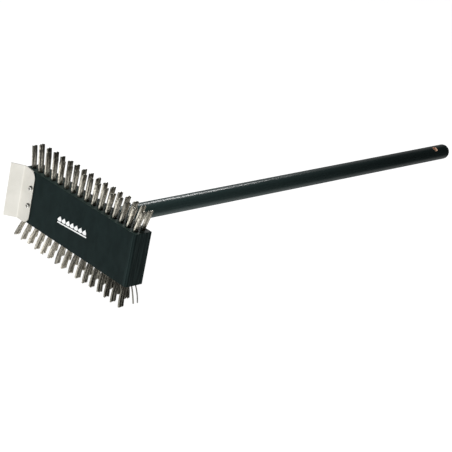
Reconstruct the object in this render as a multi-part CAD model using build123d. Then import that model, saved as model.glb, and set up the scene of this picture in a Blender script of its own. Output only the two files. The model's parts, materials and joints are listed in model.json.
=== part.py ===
from build123d import *

import math
import os

# Grill cleaning brush: a T-shaped, two-sided wire brush with a long dowel handle.
# Origin: on the handle's axis, where the handle meets the back face of the head block.
# +Y runs along the handle to its free end, +Z to the upper tufts, and the scraper is at -X.
# All lengths are in millimetres and all angles in degrees.

# Head block: a hardwood board stood on edge, its front face at y = -head_thickness.
# Its mid-height is head_drop below the handle's axis.
total_length = 766.0
head_length = 219.0
head_thickness = 28.0
head_height = 73.0
head_drop = 2.0
block_front_corner_radius = 4.0
block_back_corner_radius = 0.6
block_edge_radius = 0.6

# Handle: a hardwood dowel with a turned-down tenon glued into a blind socket in the block.
handle_diameter = 22.8
tenon_diameter = 19.0
tenon_length = 20.0
tenon_chamfer = 1.0
handle_end_radius = 10.0
hang_hole_diameter = 8.0
hang_hole_from_end = 37.0
hang_hole_tilt = 27.0

# Wire tufts: two rows on each narrow face, fanned out along the block.
# The lower front row also leans forward by lower_spread. The lower back row stands straight at
# the scraper's end of the block and leans backward by lower_spread at the other end.
tuft_columns = 16
tuft_pitch = 13.5
tuft_offset = -0.6
tuft_row_spacing = 12.2
tuft_fan = 12.0
tuft_skew = 3.0
tuft_hole_diameter = 7.2
tuft_hole_depth = 14.0
upper_reach = 30.5
lower_reach = 29.2
upper_spread = 0.0
lower_spread = 5.5

# One tuft: flat steel strips folded round an anchor wire, so it stands up as two legs.
# At the tips each leg fills the space from tip_inner to tip_outer off the tuft's middle.
strip_width = 2.4
leg_thickness = 2.2
tip_inner = 0.4
tip_outer = 3.6
anchor_diameter = 2.0
anchor_length = 8.0

# Scraper: a steel plate screwed flat to the block, its free part bent forward.
plate_thickness = 1.5
plate_height = 75.0
plate_drop = 1.7
plate_overlap = 23.0
plate_overhang = 0.4
plate_bend_angle = 41.5
plate_bend_radius = 3.0
plate_free_length = 18.6
plate_corner_radius = 11.5

# Scraper screws: pan-head wood screws with a cross recess.
screw_spacing = 24.8
screw_from_edge = 5.0
screw_head_diameter = 7.0
screw_head_height = 2.2
screw_dome_radius = 1.4
screw_shank_diameter = 4.0
screw_length = 16.0
screw_tip_length = 4.0
screw_clearance = 0.2
recess_length = 4.6
recess_width = 1.2
recess_depth = 1.5

# Worked out from the sizes above.
handle_radius = handle_diameter / 2
handle_length = total_length - head_thickness
front_y = -head_thickness
middle_y = -head_thickness / 2
half_length = head_length / 2
half_height = head_height / 2
plate_front_y = front_y - plate_thickness
plate_edge_x = -half_length + plate_overlap
screw_x = plate_edge_x - screw_from_edge
sides = {"upper": (upper_reach, upper_spread), "lower": (lower_reach, lower_spread)}


def column_lean(column):
    """Lean of an upper tuft towards +X: the columns fan out evenly, all set a little round."""
    middle = (tuft_columns - 1) / 2
    return tuft_fan * (column - middle) / middle + tuft_skew


def tuft_places(side, column):
    """The front and the back place in a column, counted from the scraper.

    Each has +Z out along its tuft. The lower side is the upper side turned half round.
    """
    turned = 0 if side == "upper" else 180
    middle = Pos(tuft_offset, 0, -head_drop) * Rot(0, turned, 0)
    counted = column if side == "upper" else tuft_columns - 1 - column
    x = tuft_pitch * (counted - (tuft_columns - 1) / 2)
    rows = (middle_y - tuft_row_spacing / 2, middle_y + tuft_row_spacing / 2)
    lean = Rot(0, column_lean(counted), 0)
    return [middle * Pos(x, y, half_height) * lean for y in rows]


def side_places(side):
    return [place for column in range(tuft_columns) for place in tuft_places(side, column)]


def fold_height():
    """Centre of the tuft's round fold, which rests on the bottom of its hole."""
    return anchor_diameter / 2 + leg_thickness - tuft_hole_depth


def make_tuft(reach, sway):
    """A folded bundle of strips: two legs and a round fold, extruded over the strips' width.

    The legs bend at the hole's mouth, so that the tips stand off by sway along Y.
    """
    inner = anchor_diameter / 2
    outer = inner + leg_thickness
    z = fold_height()
    front_leg = Polyline(
        (-inner, z), (-inner, 0), (sway - tip_inner, reach),
        (sway - tip_outer, reach), (-outer, 0), (-outer, z))
    outer_fold = ThreePointArc((-outer, z), (0, z - outer), (outer, z))
    back_leg = Polyline(
        (outer, z), (outer, 0), (sway + tip_outer, reach),
        (sway + tip_inner, reach), (inner, 0), (inner, z))
    inner_fold = ThreePointArc((inner, z), (0, z - inner), (-inner, z))
    outline = make_face(Plane.YZ * (front_leg + outer_fold + back_leg + inner_fold))
    return extrude(outline, strip_width / 2, both=True)


def make_anchor():
    """A short piece of round wire across the hole, held in the wood at both its ends."""
    return Pos(0, 0, fold_height()) * Rot(0, 90, 0) * Cylinder(anchor_diameter / 2, anchor_length)


def make_tuft_hole():
    above_face = 3.0
    depth = tuft_hole_depth + above_face
    middle_z = above_face - depth / 2
    return Pos(0, 0, middle_z) * Cylinder(tuft_hole_diameter / 2, depth)


def make_handle():
    """Dowel along +Y with a rounded end, a shouldered tenon and a hang hole."""
    upright = Plane(origin=(0, 0, 0), z_dir=(0, 1, 0))
    up_from_base = (Align.CENTER, Align.CENTER, Align.MIN)
    dowel = upright * Cylinder(handle_radius, handle_length, align=up_from_base)
    dowel = fillet(dowel.edges().sort_by(Axis.Y)[-1], handle_end_radius)
    into_block = Plane(origin=(0, 0, 0), z_dir=(0, -1, 0))
    tenon = into_block * Cylinder(tenon_diameter / 2, tenon_length, align=up_from_base)
    tenon = chamfer(tenon.edges().sort_by(Axis.Y)[0], tenon_chamfer)
    hole_place = Pos(0, handle_length - hang_hole_from_end, 0) * Rot(0, hang_hole_tilt, 0)
    hang_hole = hole_place * Cylinder(hang_hole_diameter / 2, 2 * handle_diameter)
    return dowel + tenon - hang_hole


def plate_outline():
    """Centre line of the bent plate seen from above, from the block-side edge to the free edge."""
    y = front_y - plate_thickness / 2
    bend_x = -half_length - plate_overhang
    turn = math.radians(plate_bend_angle)
    free_end = (bend_x - plate_free_length * math.cos(turn), y - plate_free_length * math.sin(turn))
    return FilletPolyline((plate_edge_x, y), (bend_x, y), free_end, radius=plate_bend_radius)


def make_scraper():
    """Plate bent about a vertical line, with rounded block-side corners and two screw holes."""
    path = plate_outline()
    across = Plane(origin=path @ 0, x_dir=(0, 0, 1), z_dir=path % 0)
    section = across * Rectangle(plate_height, plate_thickness)
    plate = Pos(0, 0, -plate_drop) * sweep(section, path)
    block_side = plate.edges().filter_by(Axis.Y).group_by(Axis.X)[-1]
    plate = fillet(block_side, plate_corner_radius)
    for place in screw_places():
        plate -= place * Cylinder(screw_shank_diameter / 2 + screw_clearance, 4 * plate_thickness)
    return plate


def screw_places():
    """Where each screw head seats on the plate, with +Z out of the plate's front."""
    heights = (screw_spacing / 2 - plate_drop, -screw_spacing / 2 - plate_drop)
    return [Pos(screw_x, plate_front_y, z) * Rot(90, 0, 0) for z in heights]


def make_screw():
    """Pan head above its seat, cross recess, plain shank and a pointed tip."""
    up_from_base = (Align.CENTER, Align.CENTER, Align.MIN)
    head = Cylinder(screw_head_diameter / 2, screw_head_height, align=up_from_base)
    head = fillet(head.edges().sort_by(Axis.Z)[-1], screw_dome_radius)
    for turn in (0, 90):
        slot = Box(recess_length, recess_width, 2 * recess_depth)
        head -= Pos(0, 0, screw_head_height) * Rot(0, 0, turn) * slot
    radius = screw_shank_diameter / 2
    straight = screw_length - screw_tip_length
    down_from_top = (Align.CENTER, Align.CENTER, Align.MAX)
    shank = Cylinder(radius, straight, align=down_from_top)
    tip = Pos(0, 0, -straight) * Cone(0, radius, screw_tip_length, align=down_from_top)
    return head + shank + tip


def make_head_block(anchors, screws):
    """Board with rounded corners, drilled for the tufts, the handle's tenon and the screws."""
    block = Pos(0, middle_y, -head_drop) * Box(head_length, head_thickness, head_height)
    front_corners = block.edges().filter_by(Axis.Z).group_by(Axis.Y)[0]
    block = fillet(front_corners, block_front_corner_radius)
    back_corners = block.edges().filter_by(Axis.Z).group_by(Axis.Y)[-1]
    block = fillet(back_corners, block_back_corner_radius)
    levels = block.faces().sort_by(Axis.Z)
    block = fillet(levels[0].edges() + levels[-1].edges(), block_edge_radius)
    hole = make_tuft_hole()
    block -= [place * hole for side in sides for place in side_places(side)]
    block -= [*anchors, *screws]
    socket = Plane(origin=(0, 0, 0), z_dir=(0, -1, 0)) * Cylinder(
        tenon_diameter / 2, tenon_length, align=(Align.CENTER, Align.CENTER, Align.MIN))
    return block - socket


def save(name, solids):
    """Writes one node: one solid, or a group of separate solids."""
    shape = solids[0] if len(solids) == 1 else Compound(children=solids)
    export_step(shape, os.path.join("parts", name + ".step"))


def main():
    os.makedirs("parts", exist_ok=True)
    anchor = make_anchor()
    anchors = {side: [place * anchor for place in side_places(side)] for side in sides}
    screw = make_screw()
    upper_screw, lower_screw = (place * screw for place in screw_places())

    save("head_block", [make_head_block(anchors["upper"] + anchors["lower"], [upper_screw, lower_screw])])
    save("handle", [make_handle()])
    save("scraper_blade", [make_scraper()])
    save("scraper_screw_upper", [upper_screw])
    save("scraper_screw_lower", [lower_screw])
    for side, (reach, spread) in sides.items():
        save(side + "_tuft_anchors", anchors[side])
        front = make_tuft(reach, -spread)
        for column in range(tuft_columns):
            rows = (front, make_tuft(reach, spread * column / (tuft_columns - 1)))
            pair = [place * tuft for place, tuft in zip(tuft_places(side, column), rows)]
            save(f"{side}_tufts_{column + 1:02d}", pair)


main()
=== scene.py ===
import json
import math
import random

import bmesh
import bpy
from mathutils import Matrix, Quaternion, Vector


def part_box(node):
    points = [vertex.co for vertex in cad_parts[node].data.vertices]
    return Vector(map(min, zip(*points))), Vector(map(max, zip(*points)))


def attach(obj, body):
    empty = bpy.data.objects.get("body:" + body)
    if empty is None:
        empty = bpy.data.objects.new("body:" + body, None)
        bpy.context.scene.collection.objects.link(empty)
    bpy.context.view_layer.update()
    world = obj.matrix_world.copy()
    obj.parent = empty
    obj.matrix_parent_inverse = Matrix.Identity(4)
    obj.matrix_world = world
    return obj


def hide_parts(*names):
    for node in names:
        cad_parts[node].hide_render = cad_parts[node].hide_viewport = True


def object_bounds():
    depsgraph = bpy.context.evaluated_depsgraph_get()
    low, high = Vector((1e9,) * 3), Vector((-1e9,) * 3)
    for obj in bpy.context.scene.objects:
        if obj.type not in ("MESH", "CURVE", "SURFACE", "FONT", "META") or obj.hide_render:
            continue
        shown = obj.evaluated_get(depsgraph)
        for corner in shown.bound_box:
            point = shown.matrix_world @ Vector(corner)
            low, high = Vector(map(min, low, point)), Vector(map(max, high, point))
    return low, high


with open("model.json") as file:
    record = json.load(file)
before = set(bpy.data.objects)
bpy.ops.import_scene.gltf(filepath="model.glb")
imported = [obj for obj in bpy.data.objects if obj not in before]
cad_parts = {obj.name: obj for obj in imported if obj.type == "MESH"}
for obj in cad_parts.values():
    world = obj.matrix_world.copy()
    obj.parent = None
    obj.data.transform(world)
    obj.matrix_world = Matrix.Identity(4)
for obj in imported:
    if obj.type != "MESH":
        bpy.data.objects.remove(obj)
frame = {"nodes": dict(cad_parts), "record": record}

# Grill cleaning brush. +Y runs along the handle, +Z to the upper tufts, the scraper is at -X.
# All lengths are in metres. MM turns millimetres into metres.
MM = 0.001
CAD_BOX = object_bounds()
BLOCK_LOW, BLOCK_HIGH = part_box("head_block")

# Tufts: the same layout as in the CAD model. Fan and skew are in degrees.
TUFT_COLUMNS = 16
TUFT_PITCH = 13.5 * MM
TUFT_OFFSET = -0.6 * MM
TUFT_ROW_SPACING = 12.2 * MM
TUFT_FAN = 12.0
TUFT_SKEW = 3.0
TUFT_HOLE_DEPTH = 14.0 * MM
BLOCK_MIDDLE = (BLOCK_LOW + BLOCK_HIGH) / 2
BLOCK_HALF_HEIGHT = (BLOCK_HIGH.z - BLOCK_LOW.z) / 2

# Each side's reach past the block, and its spread along Y at the tips: the front row leans forward
# by it, and the back row leans back by a share of it that grows from 0 at the scraper's end.
UPPER_REACH = 30.5 * MM
LOWER_REACH = 29.2 * MM
UPPER_SPREAD = 0.0
LOWER_SPREAD = 5.5 * MM

# Strips: the folded flat wires of one tuft, nested round the anchor and fanned at the tips.
STRIPS_PER_TUFT = 5
STRIP_WIDTH = 2.4 * MM
STRIP_THICKNESS = 0.42 * MM
STRIP_SPACING = 0.44 * MM
STRIP_EDGE = 0.08 * MM
ANCHOR_RADIUS = 1.0 * MM
LEG_STEPS = 9
FOLD_STEPS = 6

# At the tips, how far off the tuft's middle the strips start and the room that each one takes.
UPPER_TIPS = (0.35 * MM, 0.70 * MM)
LOWER_TIPS = (0.5 * MM, 0.74 * MM)

# Wear: the lower tufts nearest the scraper are shorter, the first by this share of its reach.
LOWER_WEAR = 0.10
WORN_COLUMNS = 7

# How far single strips and whole tufts stray. All but the bulge are standard deviations.
STRIP_BULGE_MOST = 0.45 * MM
STRIP_TIP_STRAY = 0.18 * MM
STRIP_BEND_STRAY = 0.34 * MM
STRIP_LENGTH_STRAY = 0.40 * MM
STRIP_SLANT_STRAY = 0.25 * MM
STRIP_TWIST_STRAY = math.radians(13)
TUFT_BEND_STRAY = 0.40 * MM
TUFT_LENGTH_STRAY = 0.50 * MM
TUFT_SWAY_STRAY = 0.25 * MM

# Printed mark: a row of flames over a bar, on the block's front face.
MARK_LENGTH = 57.4 * MM
MARK_HEIGHT = 10.3 * MM
MARK_BAR = 1.7 * MM
MARK_GAP = 1.0 * MM
MARK_THICKNESS = 0.06 * MM
MARK_MIDDLE = Vector((-4.0 * MM, BLOCK_LOW.y, -4.9 * MM))
MARK_TILT = math.radians(3.2)
FLAMES = 7
FLAME_SHARE = 0.74
FLAME_POINTS = 28

# Camera.
CAMERA_AZIMUTH = math.radians(41.171)
CAMERA_ELEVATION = math.radians(23.018)
CAMERA_ROLL = math.radians(11.889)
CAMERA_DISTANCE = 2.2083
CAMERA_TARGET = Vector((0.12126, 0.12029, 0.02731))
CAMERA_LENS = 137.1

# Surroundings that the shiny parts mirror. Table heights are sines of the angle above the horizon,
# and the edges of the walls and of the table's shade are cosines of the angle off their middle.
TABLE_EDGE = -0.28
TABLE_FULL = -0.60
TABLE_GLOW = 0.95
TABLE_LEAST = 0.04
ROOM_GLOW = 0.06
TABLE_SHADE = (-0.71, 0.71, 0.0)
TABLE_SHADE_EDGE = 0.25
BACK_WALL = (-0.60, 0.68, 0.42)
BACK_WALL_EDGE = 0.85
BACK_WALL_GLOW = 0.45
FRONT_WALL = (0.0, -0.85, -0.52)
FRONT_WALL_EDGE = 0.58
FRONT_WALL_FULL = 0.76
FRONT_WALL_GLOW = 1.35

# Lamps: place, power in watts and size.
KEY_PLACE = (-0.45, -0.75, 1.1)
KEY_POWER = 24.0
KEY_SIZE = 1.2
BACK_PLACE = (-0.50, 0.95, 0.70)
BACK_TARGET = (0, 0.12, 0)
BACK_POWER = 4.0
BACK_SIZE = (0.4, 0.05)


# --- Small helpers for shader nodes -------------------------------------------------------------

class Shader:
    """A material's node tree, with short calls for the nodes that the materials below use."""

    def __init__(self, name):
        self.material = bpy.data.materials.new(name)
        self.material.use_nodes = True
        self.tree = self.material.node_tree
        self.tree.nodes.clear()
        self.output = self.tree.nodes.new("ShaderNodeOutputMaterial")
        self.principled = self.tree.nodes.new("ShaderNodeBsdfPrincipled")
        self.link(self.principled.outputs["BSDF"], self.output.inputs["Surface"])

    def link(self, source, target):
        self.tree.links.new(source, target)

    def feed(self, socket, value):
        """Links value if it is another node's output, and sets it otherwise."""
        if isinstance(value, bpy.types.NodeSocket):
            self.link(value, socket)
        else:
            socket.default_value = value

    def set(self, **values):
        """Principled inputs by name, with _ for a space."""
        for name, value in values.items():
            self.feed(self.principled.inputs[name.replace("_", " ")], value)

    def place(self, scale=(1, 1, 1)):
        """Object coordinates, stretched: a small scale draws the pattern out along that axis."""
        coordinates = self.tree.nodes.new("ShaderNodeTexCoord")
        mapping = self.tree.nodes.new("ShaderNodeMapping")
        mapping.inputs["Scale"].default_value = scale
        self.link(coordinates.outputs["Object"], mapping.inputs["Vector"])
        return mapping.outputs["Vector"]

    def noise(self, vector, scale, detail=3.0, roughness=0.55, distortion=0.0):
        node = self.tree.nodes.new("ShaderNodeTexNoise")
        self.link(vector, node.inputs["Vector"])
        node.inputs["Scale"].default_value = scale
        node.inputs["Detail"].default_value = detail
        node.inputs["Roughness"].default_value = roughness
        node.inputs["Distortion"].default_value = distortion
        return node.outputs["Fac"]

    def spread(self, value, low, high, to_low=0.0, to_high=1.0):
        """Maps low..high to to_low..to_high, clamped."""
        node = self.tree.nodes.new("ShaderNodeMapRange")
        self.feed(node.inputs["Value"], value)
        node.inputs["From Min"].default_value = low
        node.inputs["From Max"].default_value = high
        node.inputs["To Min"].default_value = to_low
        node.inputs["To Max"].default_value = to_high
        return node.outputs["Result"]

    def math(self, operation, first, second=0.0):
        node = self.tree.nodes.new("ShaderNodeMath")
        node.operation = operation
        self.feed(node.inputs[0], first)
        self.feed(node.inputs[1], second)
        return node.outputs["Value"]

    def mix(self, factor, first, second):
        """Colour mix."""
        node = self.tree.nodes.new("ShaderNodeMix")
        node.data_type = "RGBA"
        self.feed(node.inputs[0], factor)
        self.feed(node.inputs[6], first)
        self.feed(node.inputs[7], second)
        return node.outputs[2]

    def bump(self, height, strength, distance, normal=None):
        node = self.tree.nodes.new("ShaderNodeBump")
        node.inputs["Strength"].default_value = strength
        node.inputs["Distance"].default_value = distance
        self.link(height, node.inputs["Height"])
        if normal is not None:
            self.link(normal, node.inputs["Normal"])
        return node.outputs["Normal"]

    def geometry(self, name):
        """The surface's own direction as Normal, or one chance value per loose part."""
        return self.tree.nodes.new("ShaderNodeNewGeometry").outputs[name]

    def vector(self, operation, first, second=(0, 0, 0)):
        node = self.tree.nodes.new("ShaderNodeVectorMath")
        node.operation = operation
        self.link(first, node.inputs[0])
        node.inputs[1].default_value = second
        return node.outputs["Value" if operation == "LENGTH" else "Vector"]

    def axis(self, name, vector=None):
        """X, Y or Z of a vector, by default of the object coordinates in metres."""
        node = self.tree.nodes.new("ShaderNodeSeparateXYZ")
        self.link(vector or self.place(), node.inputs["Vector"])
        return node.outputs[name]


def rgb(red, green, blue):
    return (red, green, blue, 1.0)


# --- Materials ----------------------------------------------------------------------------------

def head_lacquer():
    """Thin matt black lacquer over faint wood grain, lighter on top as painted sheen, and streaked on
    the +X end.
    """
    shader = Shader("head_lacquer")
    grain_place = shader.place((0.10, 1.0, 0.05))
    rings = shader.noise(grain_place, 900.0, 4.0, 0.6, 0.4)
    pores = shader.spread(shader.noise(grain_place, 3200.0, 2.0), 0.58, 0.72)
    cloud = shader.noise(shader.place(), 35.0, 4.0)
    dark, light = rgb(0.0030, 0.0086, 0.0085), rgb(0.0056, 0.0130, 0.0128)
    colour = shader.mix(shader.spread(rings, 0.35, 0.65), dark, light)
    roughness = shader.spread(cloud, 0.3, 0.7, 0.38, 0.48)
    height = shader.math("SUBTRACT", rings, pores)
    streaks = shader.noise(shader.place((1.0, 1.0, 0.03)), 420.0, 3.0, 0.6, 0.3)
    ends = shader.spread(shader.axis("X"), BLOCK_HIGH.x - 8 * MM, BLOCK_HIGH.x - 2 * MM)
    streak = shader.math("MULTIPLY", ends, shader.spread(streaks, 0.45, 0.62))
    colour = shader.mix(streak, colour, rgb(0.0170, 0.0310, 0.0300))
    # Painted sheen: faces that turn upward are made lighter and greener.
    top_sheen = shader.spread(shader.axis("Z", shader.geometry("Normal")), 0.6, 0.95)
    colour = shader.mix(top_sheen, colour, rgb(0.0200, 0.0310, 0.0280))
    normal = shader.bump(height, 0.12, 0.10 * MM)
    normal = shader.bump(shader.noise(shader.place(), 160.0, 2.0), 0.08, 0.20 * MM, normal)
    shader.set(Base_Color=colour, Roughness=roughness, Normal=normal)
    shader.set(Specular_IOR_Level=0.07)
    return shader.material


def handle_lacquer():
    """Glossier black lacquer, made paler near the head as painted light, with bare wood in the hang
    hole.
    """
    shader = Shader("handle_lacquer")
    grain_place = shader.place((1.0, 0.03, 1.0))
    grain = shader.noise(grain_place, 1100.0, 4.0, 0.6, 0.3)
    cloud = shader.noise(shader.place((1.0, 0.3, 1.0)), 60.0, 4.0)
    streak = shader.spread(grain, 0.35, 0.65)
    deep = shader.mix(streak, rgb(0.0080, 0.0135, 0.0135), rgb(0.0130, 0.0190, 0.0190))
    painted_lit_lacquer = shader.mix(streak, rgb(0.0290, 0.0500, 0.0490), rgb(0.0370, 0.0590, 0.0580))
    along = shader.axis("Y")
    # Painted light: the lacquer is paler near the head and darker towards the far end, as light
    # falling off along the handle.
    lacquer = shader.mix(shader.spread(along, 0.08, 0.62), painted_lit_lacquer, deep)
    roughness = shader.spread(cloud, 0.3, 0.7, 0.20, 0.28)
    bare = hang_hole_mask(shader)
    rings = shader.noise(shader.place((1.0, 0.05, 1.0)), 1500.0, 3.0)
    wood = shader.mix(rings, rgb(0.58, 0.29, 0.18), rgb(0.76, 0.60, 0.46))
    height = shader.math("SUBTRACT", grain, shader.math("MULTIPLY", bare, 1.5))
    normal = shader.bump(height, 0.08, 0.10 * MM)
    shader.set(Base_Color=shader.mix(bare, lacquer, wood), Normal=normal)
    shader.set(Roughness=shader.mix(bare, roughness, rgb(0.65, 0.65, 0.65)))
    shader.set(Specular_IOR_Level=shader.spread(along, 0.10, 0.45, 0.13, 0.08))
    return shader.material


def hang_hole_mask(shader):
    """1 on bare wood: inside the hang hole and on the chipped lacquer at its rim."""
    mount = next(m for m in frame["record"]["mounts"] if m["name"] == "hang_hole")
    radius = mount["dims"]["r_mm"] * MM
    offset = shader.vector("SUBTRACT", shader.place(), mount["pos_m"])
    from_axis = shader.vector("LENGTH", shader.vector("CROSS_PRODUCT", offset, mount["axis"]))
    chips = shader.spread(shader.noise(shader.place(), 500.0, 3.0), 0.3, 0.7, 0.0, 0.15 * radius)
    return shader.math("LESS_THAN", from_axis, shader.math("ADD", chips, radius))


def scraper_steel():
    """Satin rolled sheet, finely brushed along its height, with faint smudges."""
    shader = Shader("scraper_steel")
    lines = shader.noise(shader.place((1.0, 1.0, 0.02)), 4200.0, 2.0)
    smudge = shader.noise(shader.place(), 40.0, 4.0, 0.6, 0.5)
    clean, smudged = rgb(0.82, 0.80, 0.75), rgb(0.77, 0.755, 0.70)
    colour = shader.mix(shader.spread(smudge, 0.35, 0.7), clean, smudged)
    roughness = shader.spread(smudge, 0.3, 0.7, 0.40, 0.46)
    normal = shader.bump(lines, 0.05, 0.03 * MM)
    shader.set(Base_Color=colour, Roughness=roughness, Normal=normal, Metallic=1.0)
    return shader.material


def screw_steel():
    """Bright plating with faint turning marks."""
    shader = Shader("screw_steel")
    marks = shader.noise(shader.place(), 2600.0, 3.0)
    tint = shader.noise(shader.place(), 400.0, 2.0)
    colour = shader.mix(tint, rgb(0.66, 0.65, 0.62), rgb(0.80, 0.79, 0.76))
    normal = shader.bump(marks, 0.15, 0.04 * MM)
    roughness = shader.spread(marks, 0.3, 0.7, 0.16, 0.26)
    shader.set(Base_Color=colour, Roughness=roughness, Normal=normal, Metallic=1.0)
    return shader.material


def tuft_steel():
    """Tempered flat wire, each strip its own tone, specked, stained at the tips and darkened by
    painted shade.
    """
    shader = Shader("tuft_steel")
    drawn = shader.noise(shader.place((1.0, 1.0, 0.05)), 3000.0, 2.0)
    blotch = shader.noise(shader.place((1.0, 1.0, 0.5)), 420.0, 3.0)
    specks = shader.noise(shader.place((1.0, 1.0, 0.7)), 520.0, 2.0)
    light, tan = rgb(0.84, 0.80, 0.71), rgb(0.60, 0.565, 0.48)
    colour = shader.mix(shader.geometry("Random Per Island"), light, tan)
    colour = shader.mix(shader.spread(specks, 0.48, 0.60, 0.0, 0.7), colour, rgb(0.22, 0.205, 0.17))
    height = shader.math("SUBTRACT", shader.axis("Z"), BLOCK_MIDDLE.z)
    # Real stain at the tips and painted shade on the sides of the tufts, mixed in as one dark colour.
    stain_and_painted_shade = shader.math("MAXIMUM", tip_stain(shader, height, blotch), tuft_painted_shade(shader, height))
    colour = shader.mix(stain_and_painted_shade, colour, rgb(0.098, 0.098, 0.082))
    roughness = shader.spread(blotch, 0.3, 0.7, 0.26, 0.42)
    normal = shader.bump(drawn, 0.10, 0.04 * MM)
    shader.set(Base_Color=colour, Roughness=roughness, Normal=normal, Metallic=1.0)
    return shader.material


def tip_stain(shader, height, blotch):
    """Patchy stain that grows towards the cut ends, half as strong on the lower side."""
    upper_tips = BLOCK_HALF_HEIGHT + UPPER_REACH
    lower_tips = -BLOCK_HALF_HEIGHT - LOWER_REACH
    upper = shader.spread(height, upper_tips - 0.55 * UPPER_REACH, upper_tips)
    lower = shader.spread(height, lower_tips + 0.5 * LOWER_REACH, lower_tips)
    stain = shader.math("ADD", upper, shader.math("MULTIPLY", lower, 0.5))
    stain = shader.math("ADD", stain, shader.spread(blotch, 0.3, 0.7, -0.35, 0.35))
    return shader.spread(stain, 0.35, 1.10, 0.0, 0.85)


def tuft_painted_shade(shader, height):
    """Painted shade: darker on the lower tufts towards +X and on the upper ones towards -X, but not on
    their faces that turn to the front.
    """
    along = shader.axis("X")
    below = shader.spread(height, -BLOCK_HALF_HEIGHT + 2 * MM, -BLOCK_HALF_HEIGHT - 1 * MM)
    above = shader.spread(height, BLOCK_HALF_HEIGHT - 2 * MM, BLOCK_HALF_HEIGHT + 1 * MM)
    lower = shader.math("MULTIPLY", below, shader.spread(along, -25 * MM, 75 * MM, 0.0, 0.80))
    upper = shader.math("MULTIPLY", above, shader.spread(along, -10 * MM, -95 * MM, 0.0, 0.75))
    off_front = shader.spread(shader.axis("Y", shader.geometry("Normal")), -0.8, -0.4)
    return shader.math("MAXIMUM", lower, shader.math("MULTIPLY", upper, off_front))


def anchor_steel():
    """Plain drawn wire."""
    shader = Shader("anchor_steel")
    drawn = shader.noise(shader.place((0.05, 1.0, 1.0)), 2500.0, 2.0)
    colour = shader.mix(drawn, rgb(0.42, 0.41, 0.39), rgb(0.60, 0.59, 0.57))
    roughness = shader.spread(drawn, 0.3, 0.7, 0.30, 0.45)
    shader.set(Base_Color=colour, Roughness=roughness, Metallic=1.0)
    return shader.material


def printed_ink():
    """Screen-printed white ink, slightly uneven where it sank into the lacquer."""
    shader = Shader("printed_mark")
    patch = shader.noise(shader.place(), 700.0, 3.0)
    full, thin = rgb(0.86, 0.87, 0.86), rgb(0.66, 0.68, 0.68)
    colour = shader.mix(shader.spread(patch, 0.4, 0.75), full, thin)
    shader.set(Base_Color=colour, Roughness=shader.spread(patch, 0.3, 0.7, 0.45, 0.6))
    return shader.material


def studio_floor():
    """Plain pale matte floor that glows evenly, like a lit photo table."""
    shader = Shader("studio_floor")
    fleck = shader.noise(shader.place(), 6.0, 2.0)
    shade = shader.mix(fleck, rgb(0.10, 0.10, 0.10), rgb(0.12, 0.12, 0.12))
    glow = shader.mix(fleck, rgb(0.97, 0.97, 0.97), rgb(0.99, 0.99, 0.99))
    shader.set(Base_Color=shade, Roughness=0.9, Emission_Color=glow, Emission_Strength=1.0)
    shader.set(Specular_IOR_Level=0.1)
    return shader.material


# --- Meshes -------------------------------------------------------------------------------------

def new_object(name, build, material):
    """An object from a finished bmesh, which is freed."""
    mesh = bpy.data.meshes.new(name)
    build.to_mesh(mesh)
    build.free()
    made = bpy.data.objects.new(name, mesh)
    bpy.context.scene.collection.objects.link(made)
    made.data.materials.append(material)
    return made


def new_piece(name, build, material):
    """A visible piece of the brush, with its faces turned outward."""
    bmesh.ops.recalc_face_normals(build, faces=build.faces)
    piece = new_object(name, build, material)
    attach(piece, "root")
    return piece


def column_lean(column):
    """How far a column leans along the block, in radians: fanned, and skewed as a whole."""
    middle = (TUFT_COLUMNS - 1) / 2
    return math.radians(TUFT_FAN * (column - middle) / middle + TUFT_SKEW)


def tuft_places(side, column):
    """The matrices of a column's two tufts, front row first, with +Z out along the tuft."""
    turned = 0 if side == "upper" else math.pi
    counted = column if side == "upper" else TUFT_COLUMNS - 1 - column
    middle = Matrix.Translation((TUFT_OFFSET, BLOCK_MIDDLE.y, BLOCK_MIDDLE.z))
    middle = middle @ Matrix.Rotation(turned, 4, "Y")
    x = TUFT_PITCH * (counted - (TUFT_COLUMNS - 1) / 2)
    lean = Matrix.Rotation(column_lean(counted), 4, "Y")
    rows = (-TUFT_ROW_SPACING / 2, TUFT_ROW_SPACING / 2)
    return [middle @ Matrix.Translation((x, y, BLOCK_HALF_HEIGHT)) @ lean for y in rows]


class Leg:
    """One leg of a strip, from the hole's mouth to its tip, and how it strays from straight."""

    def __init__(self, draw, side, layer, tips, bend, sway, length):
        inner, spacing = tips
        self.side = side
        self.mouth = ANCHOR_RADIUS + (layer + 0.5) * STRIP_SPACING
        self.tip = inner + (layer + 0.5) * spacing + draw.gauss(0, STRIP_TIP_STRAY)
        self.bulge = draw.uniform(0, STRIP_BULGE_MOST) * (layer + 1) / STRIPS_PER_TUFT
        self.bend = bend + draw.gauss(0, STRIP_BEND_STRAY)
        self.sway = sway
        self.twist = draw.gauss(0, STRIP_TWIST_STRAY)
        self.length = length + draw.gauss(0, STRIP_LENGTH_STRAY)
        self.slant = draw.gauss(0, STRIP_SLANT_STRAY)

    def centre(self, share):
        """The leg's middle at a share of its length: bent along X, bowed and swayed along Y."""
        t = max(0.0, share)
        out = self.mouth + (self.tip - self.mouth) * t + self.bulge * 4 * t * (1 - t)
        y = self.side * out + self.sway * (1 - (1 - t) ** 2)
        return Vector((self.bend * t ** 2, y, self.length * share))

    def section(self, share):
        """Centre, width direction, thickness direction and slant of the cut."""
        angle = self.twist * share
        wide = Vector((math.cos(angle), math.sin(angle), 0))
        along = (self.centre(share + 0.02) - self.centre(share - 0.02)).normalized()
        slant = self.slant if share == 1 else 0.0
        return self.centre(share), wide, self.side * along.cross(wide).normalized(), slant


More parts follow.
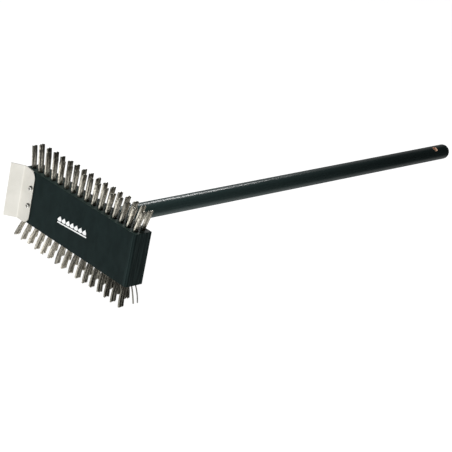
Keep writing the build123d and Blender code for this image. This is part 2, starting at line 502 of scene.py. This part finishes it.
def strip_sections(front, back, layer):
    """Sections of one folded strip: down the front leg, round the fold and up the back leg."""
    shares = [step / LEG_STEPS for step in range(LEG_STEPS + 1)]
    fold_z = ANCHOR_RADIUS + STRIPS_PER_TUFT * STRIP_SPACING - TUFT_HOLE_DEPTH
    radius = ANCHOR_RADIUS + (layer + 0.5) * STRIP_SPACING
    fold = []
    for step in range(FOLD_STEPS + 1):
        turn = math.pi * step / FOLD_STEPS
        outward = Vector((0, -math.cos(turn), -math.sin(turn)))
        fold.append((Vector((0, 0, fold_z)) + radius * outward, Vector((1, 0, 0)), outward, 0.0))
    down = [front.section(share) for share in reversed(shares)]
    up = [back.section(share) for share in shares]
    return down + fold + up


def add_strip(mesh, place, sections):
    """A ribbon with slightly broken edges through the sections."""
    half_w, half_t, edge = STRIP_WIDTH / 2, STRIP_THICKNESS / 2, STRIP_EDGE
    outline = [
        (half_w, -half_t + edge), (half_w, half_t - edge),
        (half_w - edge, half_t), (-half_w + edge, half_t),
        (-half_w, half_t - edge), (-half_w, -half_t + edge),
        (-half_w + edge, -half_t), (half_w - edge, -half_t),
    ]
    rings = []
    for centre, wide, normal, slant in sections:
        cut = Vector((0, 0, slant / half_w))
        points = [centre + wide * w + normal * t + cut * w for w, t in outline]
        rings.append([mesh.verts.new(place @ p) for p in points])
    count = len(outline)
    for low, high in zip(rings, rings[1:]):
        for i in range(count):
            mesh.faces.new((low[i], low[(i + 1) % count], high[(i + 1) % count], high[i]))
    mesh.faces.new(rings[0][::-1])
    mesh.faces.new(rings[-1])


def add_tuft(mesh, place, reach, sway, tips, draw, layers):
    """One tuft of nested folded strips, its tips off by sway along Y."""
    bend = draw.gauss(0, TUFT_BEND_STRAY)
    length = reach - abs(draw.gauss(0, TUFT_LENGTH_STRAY))
    sway += draw.gauss(0, TUFT_SWAY_STRAY)
    for layer in layers:
        front, back = (Leg(draw, side, layer, tips, bend, sway, length) for side in (-1, 1))
        add_strip(mesh, place, strip_sections(front, back, layer))


def column_wear(side, column):
    """The share of its reach that a tuft has lost."""
    return LOWER_WEAR * max(0.0, 1 - column / WORN_COLUMNS) if side == "lower" else 0.0


def column_layers(side, column):
    """The strips of a column's front and back tuft. The last lower back tuft is down to one."""
    full = range(STRIPS_PER_TUFT)
    bare = side == "lower" and column == TUFT_COLUMNS - 1
    return full, full[-1:] if bare else full


def make_tufts(material):
    """One piece for each column of each side."""
    draw = random.Random(7)
    upper = ("upper", UPPER_REACH, UPPER_SPREAD, UPPER_TIPS)
    lower = ("lower", LOWER_REACH, LOWER_SPREAD, LOWER_TIPS)
    for side, reach, spread, tips in (upper, lower):
        for column in range(TUFT_COLUMNS):
            build = bmesh.new()
            worn_reach = reach * (1 - column_wear(side, column))
            sways = (-spread, spread * column / (TUFT_COLUMNS - 1))
            rows = zip(tuft_places(side, column), sways, column_layers(side, column))
            for place, sway, layers in rows:
                add_tuft(build, place, worn_reach, sway, tips, draw, layers)
            piece = new_piece(f"{side}_wires_{column + 1:02d}", build, material)
            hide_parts(f"{side}_tufts_{column + 1:02d}")


def flame_outline(width, height):
    """A leaning drop shape, round below and pointed above."""
    points = []
    for step in range(FLAME_POINTS):
        turn = 2 * math.pi * step / FLAME_POINTS
        up = (1 - math.cos(turn)) / 2
        side = math.sin(turn) * (1 - up) ** 0.9
        lean = 0.30 * up * up - 0.10
        points.append((width * (0.92 * side + lean), height * up))
    return points


def mark_outlines():
    """The bar and the flames of the printed mark, about its middle."""
    left, bottom = -MARK_LENGTH / 2, -MARK_HEIGHT / 2
    bar_top = bottom + MARK_BAR
    outlines = [[(left, bottom), (-left, bottom), (-left, bar_top), (left, bar_top)]]
    pitch = MARK_LENGTH / FLAMES
    flame = flame_outline(pitch * FLAME_SHARE, MARK_HEIGHT - MARK_BAR - MARK_GAP)
    for i in range(FLAMES):
        centre = left + pitch * (i + 0.5)
        outlines.append([(centre + x, bar_top + MARK_GAP + z) for x, z in flame])
    return outlines


def make_printed_mark(material):
    """A generic sign on the block's front face, as a thin raised print."""
    place = Matrix.Translation(MARK_MIDDLE) @ Matrix.Rotation(-MARK_TILT, 4, "Y")
    build = bmesh.new()
    for outline in mark_outlines():
        face = build.faces.new([build.verts.new(place @ Vector((x, 0, z))) for x, z in outline])
        made = bmesh.ops.extrude_face_region(build, geom=[face])
        moved = [v for v in made["geom"] if isinstance(v, bmesh.types.BMVert)]
        bmesh.ops.translate(build, vec=(0, -MARK_THICKNESS, 0), verts=moved)
    new_piece("printed_mark", build, material)


def paint_node(node, material):
    """Gives a CAD node its material and leaves its shape alone."""
    piece = frame["nodes"][node]
    piece.data.materials.clear()
    piece.data.materials.append(material)


# --- Stage --------------------------------------------------------------------------------------

def make_floor(material):
    """A wide flat floor at the CAD model's lowest point, left out of reflections."""
    build = bmesh.new()
    bmesh.ops.create_grid(build, x_segments=1, y_segments=1, size=30)
    bmesh.ops.translate(build, vec=(0, 0, CAD_BOX[0].z), verts=build.verts)
    floor = new_object("studio_floor", build, material)
    floor.visible_glossy = False


def aim(thing, location, target, roll=0.0):
    """Puts a lamp or camera at location, looking at target, its picture turned by roll."""
    thing.location = location
    thing.rotation_mode = "QUATERNION"
    back = (Vector(location) - Vector(target)).normalized()
    thing.rotation_quaternion = back.to_track_quat("Z", "Y") @ Quaternion((0, 0, 1), roll)


def make_lamp(name, energy, location, target, **settings):
    """An area lamp, with any other settings of its data by name."""
    data = bpy.data.lights.new(name, "AREA")
    data.energy = energy
    for key, value in settings.items():
        setattr(data, key, value)
    lamp = bpy.data.objects.new(name, data)
    bpy.context.scene.collection.objects.link(lamp)
    aim(lamp, location, target)
    return lamp


def make_world():
    """The studio as the shiny parts mirror it: a pale table, a dim room and two pale walls."""
    world = bpy.data.worlds.new("studio")
    bpy.context.scene.world = world
    world.use_nodes = True
    tree = world.node_tree
    direction = tree.nodes.new("ShaderNodeTexCoord").outputs["Generated"]
    height = tree.nodes.new("ShaderNodeSeparateXYZ")
    tree.links.new(direction, height.inputs["Vector"])
    table = world_ramp(tree, height.outputs["Z"], TABLE_EDGE, TABLE_FULL, ROOM_GLOW, TABLE_GLOW)
    shade = world_wall(tree, direction, TABLE_SHADE, TABLE_SHADE_EDGE, 1.0, -TABLE_GLOW)
    table = world_math(tree, "MAXIMUM", world_math(tree, "ADD", table, shade), TABLE_LEAST)
    back_wall = world_wall(tree, direction, BACK_WALL, BACK_WALL_EDGE, 1.0, BACK_WALL_GLOW)
    front_wall = world_wall(
        tree, direction, FRONT_WALL, FRONT_WALL_EDGE, FRONT_WALL_FULL, FRONT_WALL_GLOW)
    total = world_math(tree, "MAXIMUM", table, front_wall)
    total = world_math(tree, "ADD", total, back_wall)
    background = tree.nodes["Background"]
    background.inputs["Color"].default_value = rgb(1.0, 1.0, 0.985)
    tree.links.new(total, background.inputs["Strength"])


def world_wall(tree, direction, towards, edge, full, glow):
    """A round glow in one direction, growing as the angle's cosine goes from edge to full."""
    facing = tree.nodes.new("ShaderNodeVectorMath")
    facing.operation = "DOT_PRODUCT"
    tree.links.new(direction, facing.inputs[0])
    facing.inputs[1].default_value = Vector(towards).normalized()
    return world_ramp(tree, facing.outputs["Value"], edge, full, 0.0, glow)


def world_math(tree, operation, first, second):
    """A math node on two values, each a number or another node's output."""
    node = tree.nodes.new("ShaderNodeMath")
    node.operation = operation
    for socket, value in zip(node.inputs, (first, second)):
        if isinstance(value, bpy.types.NodeSocket):
            tree.links.new(value, socket)
        else:
            socket.default_value = value
    return node.outputs["Value"]


def world_ramp(tree, value, start, end, from_glow, to_glow):
    """A smooth change of glow as value goes from start to end."""
    node = tree.nodes.new("ShaderNodeMapRange")
    node.interpolation_type = "SMOOTHSTEP"
    tree.links.new(value, node.inputs["Value"])
    node.inputs["From Min"].default_value = start
    node.inputs["From Max"].default_value = end
    node.inputs["To Min"].default_value = from_glow
    node.inputs["To Max"].default_value = to_glow
    return node.outputs["Result"]


def make_lights():
    """A large soft lamp above the front, unseen in reflections, and a strip lamp behind."""
    key = make_lamp("key_softbox", KEY_POWER, KEY_PLACE, (0, 0, 0), shape="DISK", size=KEY_SIZE)
    key.visible_glossy = False
    width, depth = BACK_SIZE
    strip = {"shape": "RECTANGLE", "size": width, "size_y": depth}
    make_lamp("back_softbox", BACK_POWER, BACK_PLACE, BACK_TARGET, **strip)


def make_camera():
    """The camera on its line of sight to the target, rolled about that line."""
    data = bpy.data.cameras.new("camera")
    data.lens = CAMERA_LENS
    data.sensor_width = 36.0
    camera = bpy.data.objects.new("camera", data)
    bpy.context.scene.collection.objects.link(camera)
    back = Vector((
        math.sin(CAMERA_AZIMUTH) * math.cos(CAMERA_ELEVATION),
        -math.cos(CAMERA_AZIMUTH) * math.cos(CAMERA_ELEVATION),
        math.sin(CAMERA_ELEVATION),
    ))
    aim(camera, CAMERA_TARGET + back * CAMERA_DISTANCE, CAMERA_TARGET, CAMERA_ROLL)
    bpy.context.scene.camera = camera


def main():
    paint_node("head_block", head_lacquer())
    paint_node("handle", handle_lacquer())
    paint_node("scraper_blade", scraper_steel())
    plating = screw_steel()
    for node in ("scraper_screw_upper", "scraper_screw_lower"):
        paint_node(node, plating)
    anchor = anchor_steel()
    for node in ("upper_tuft_anchors", "lower_tuft_anchors"):
        paint_node(node, anchor)
    make_tufts(tuft_steel())
    make_printed_mark(printed_ink())
    make_floor(studio_floor())
    make_world()
    make_lights()
    make_camera()
    bpy.context.scene.view_settings.view_transform = "Standard"


main()
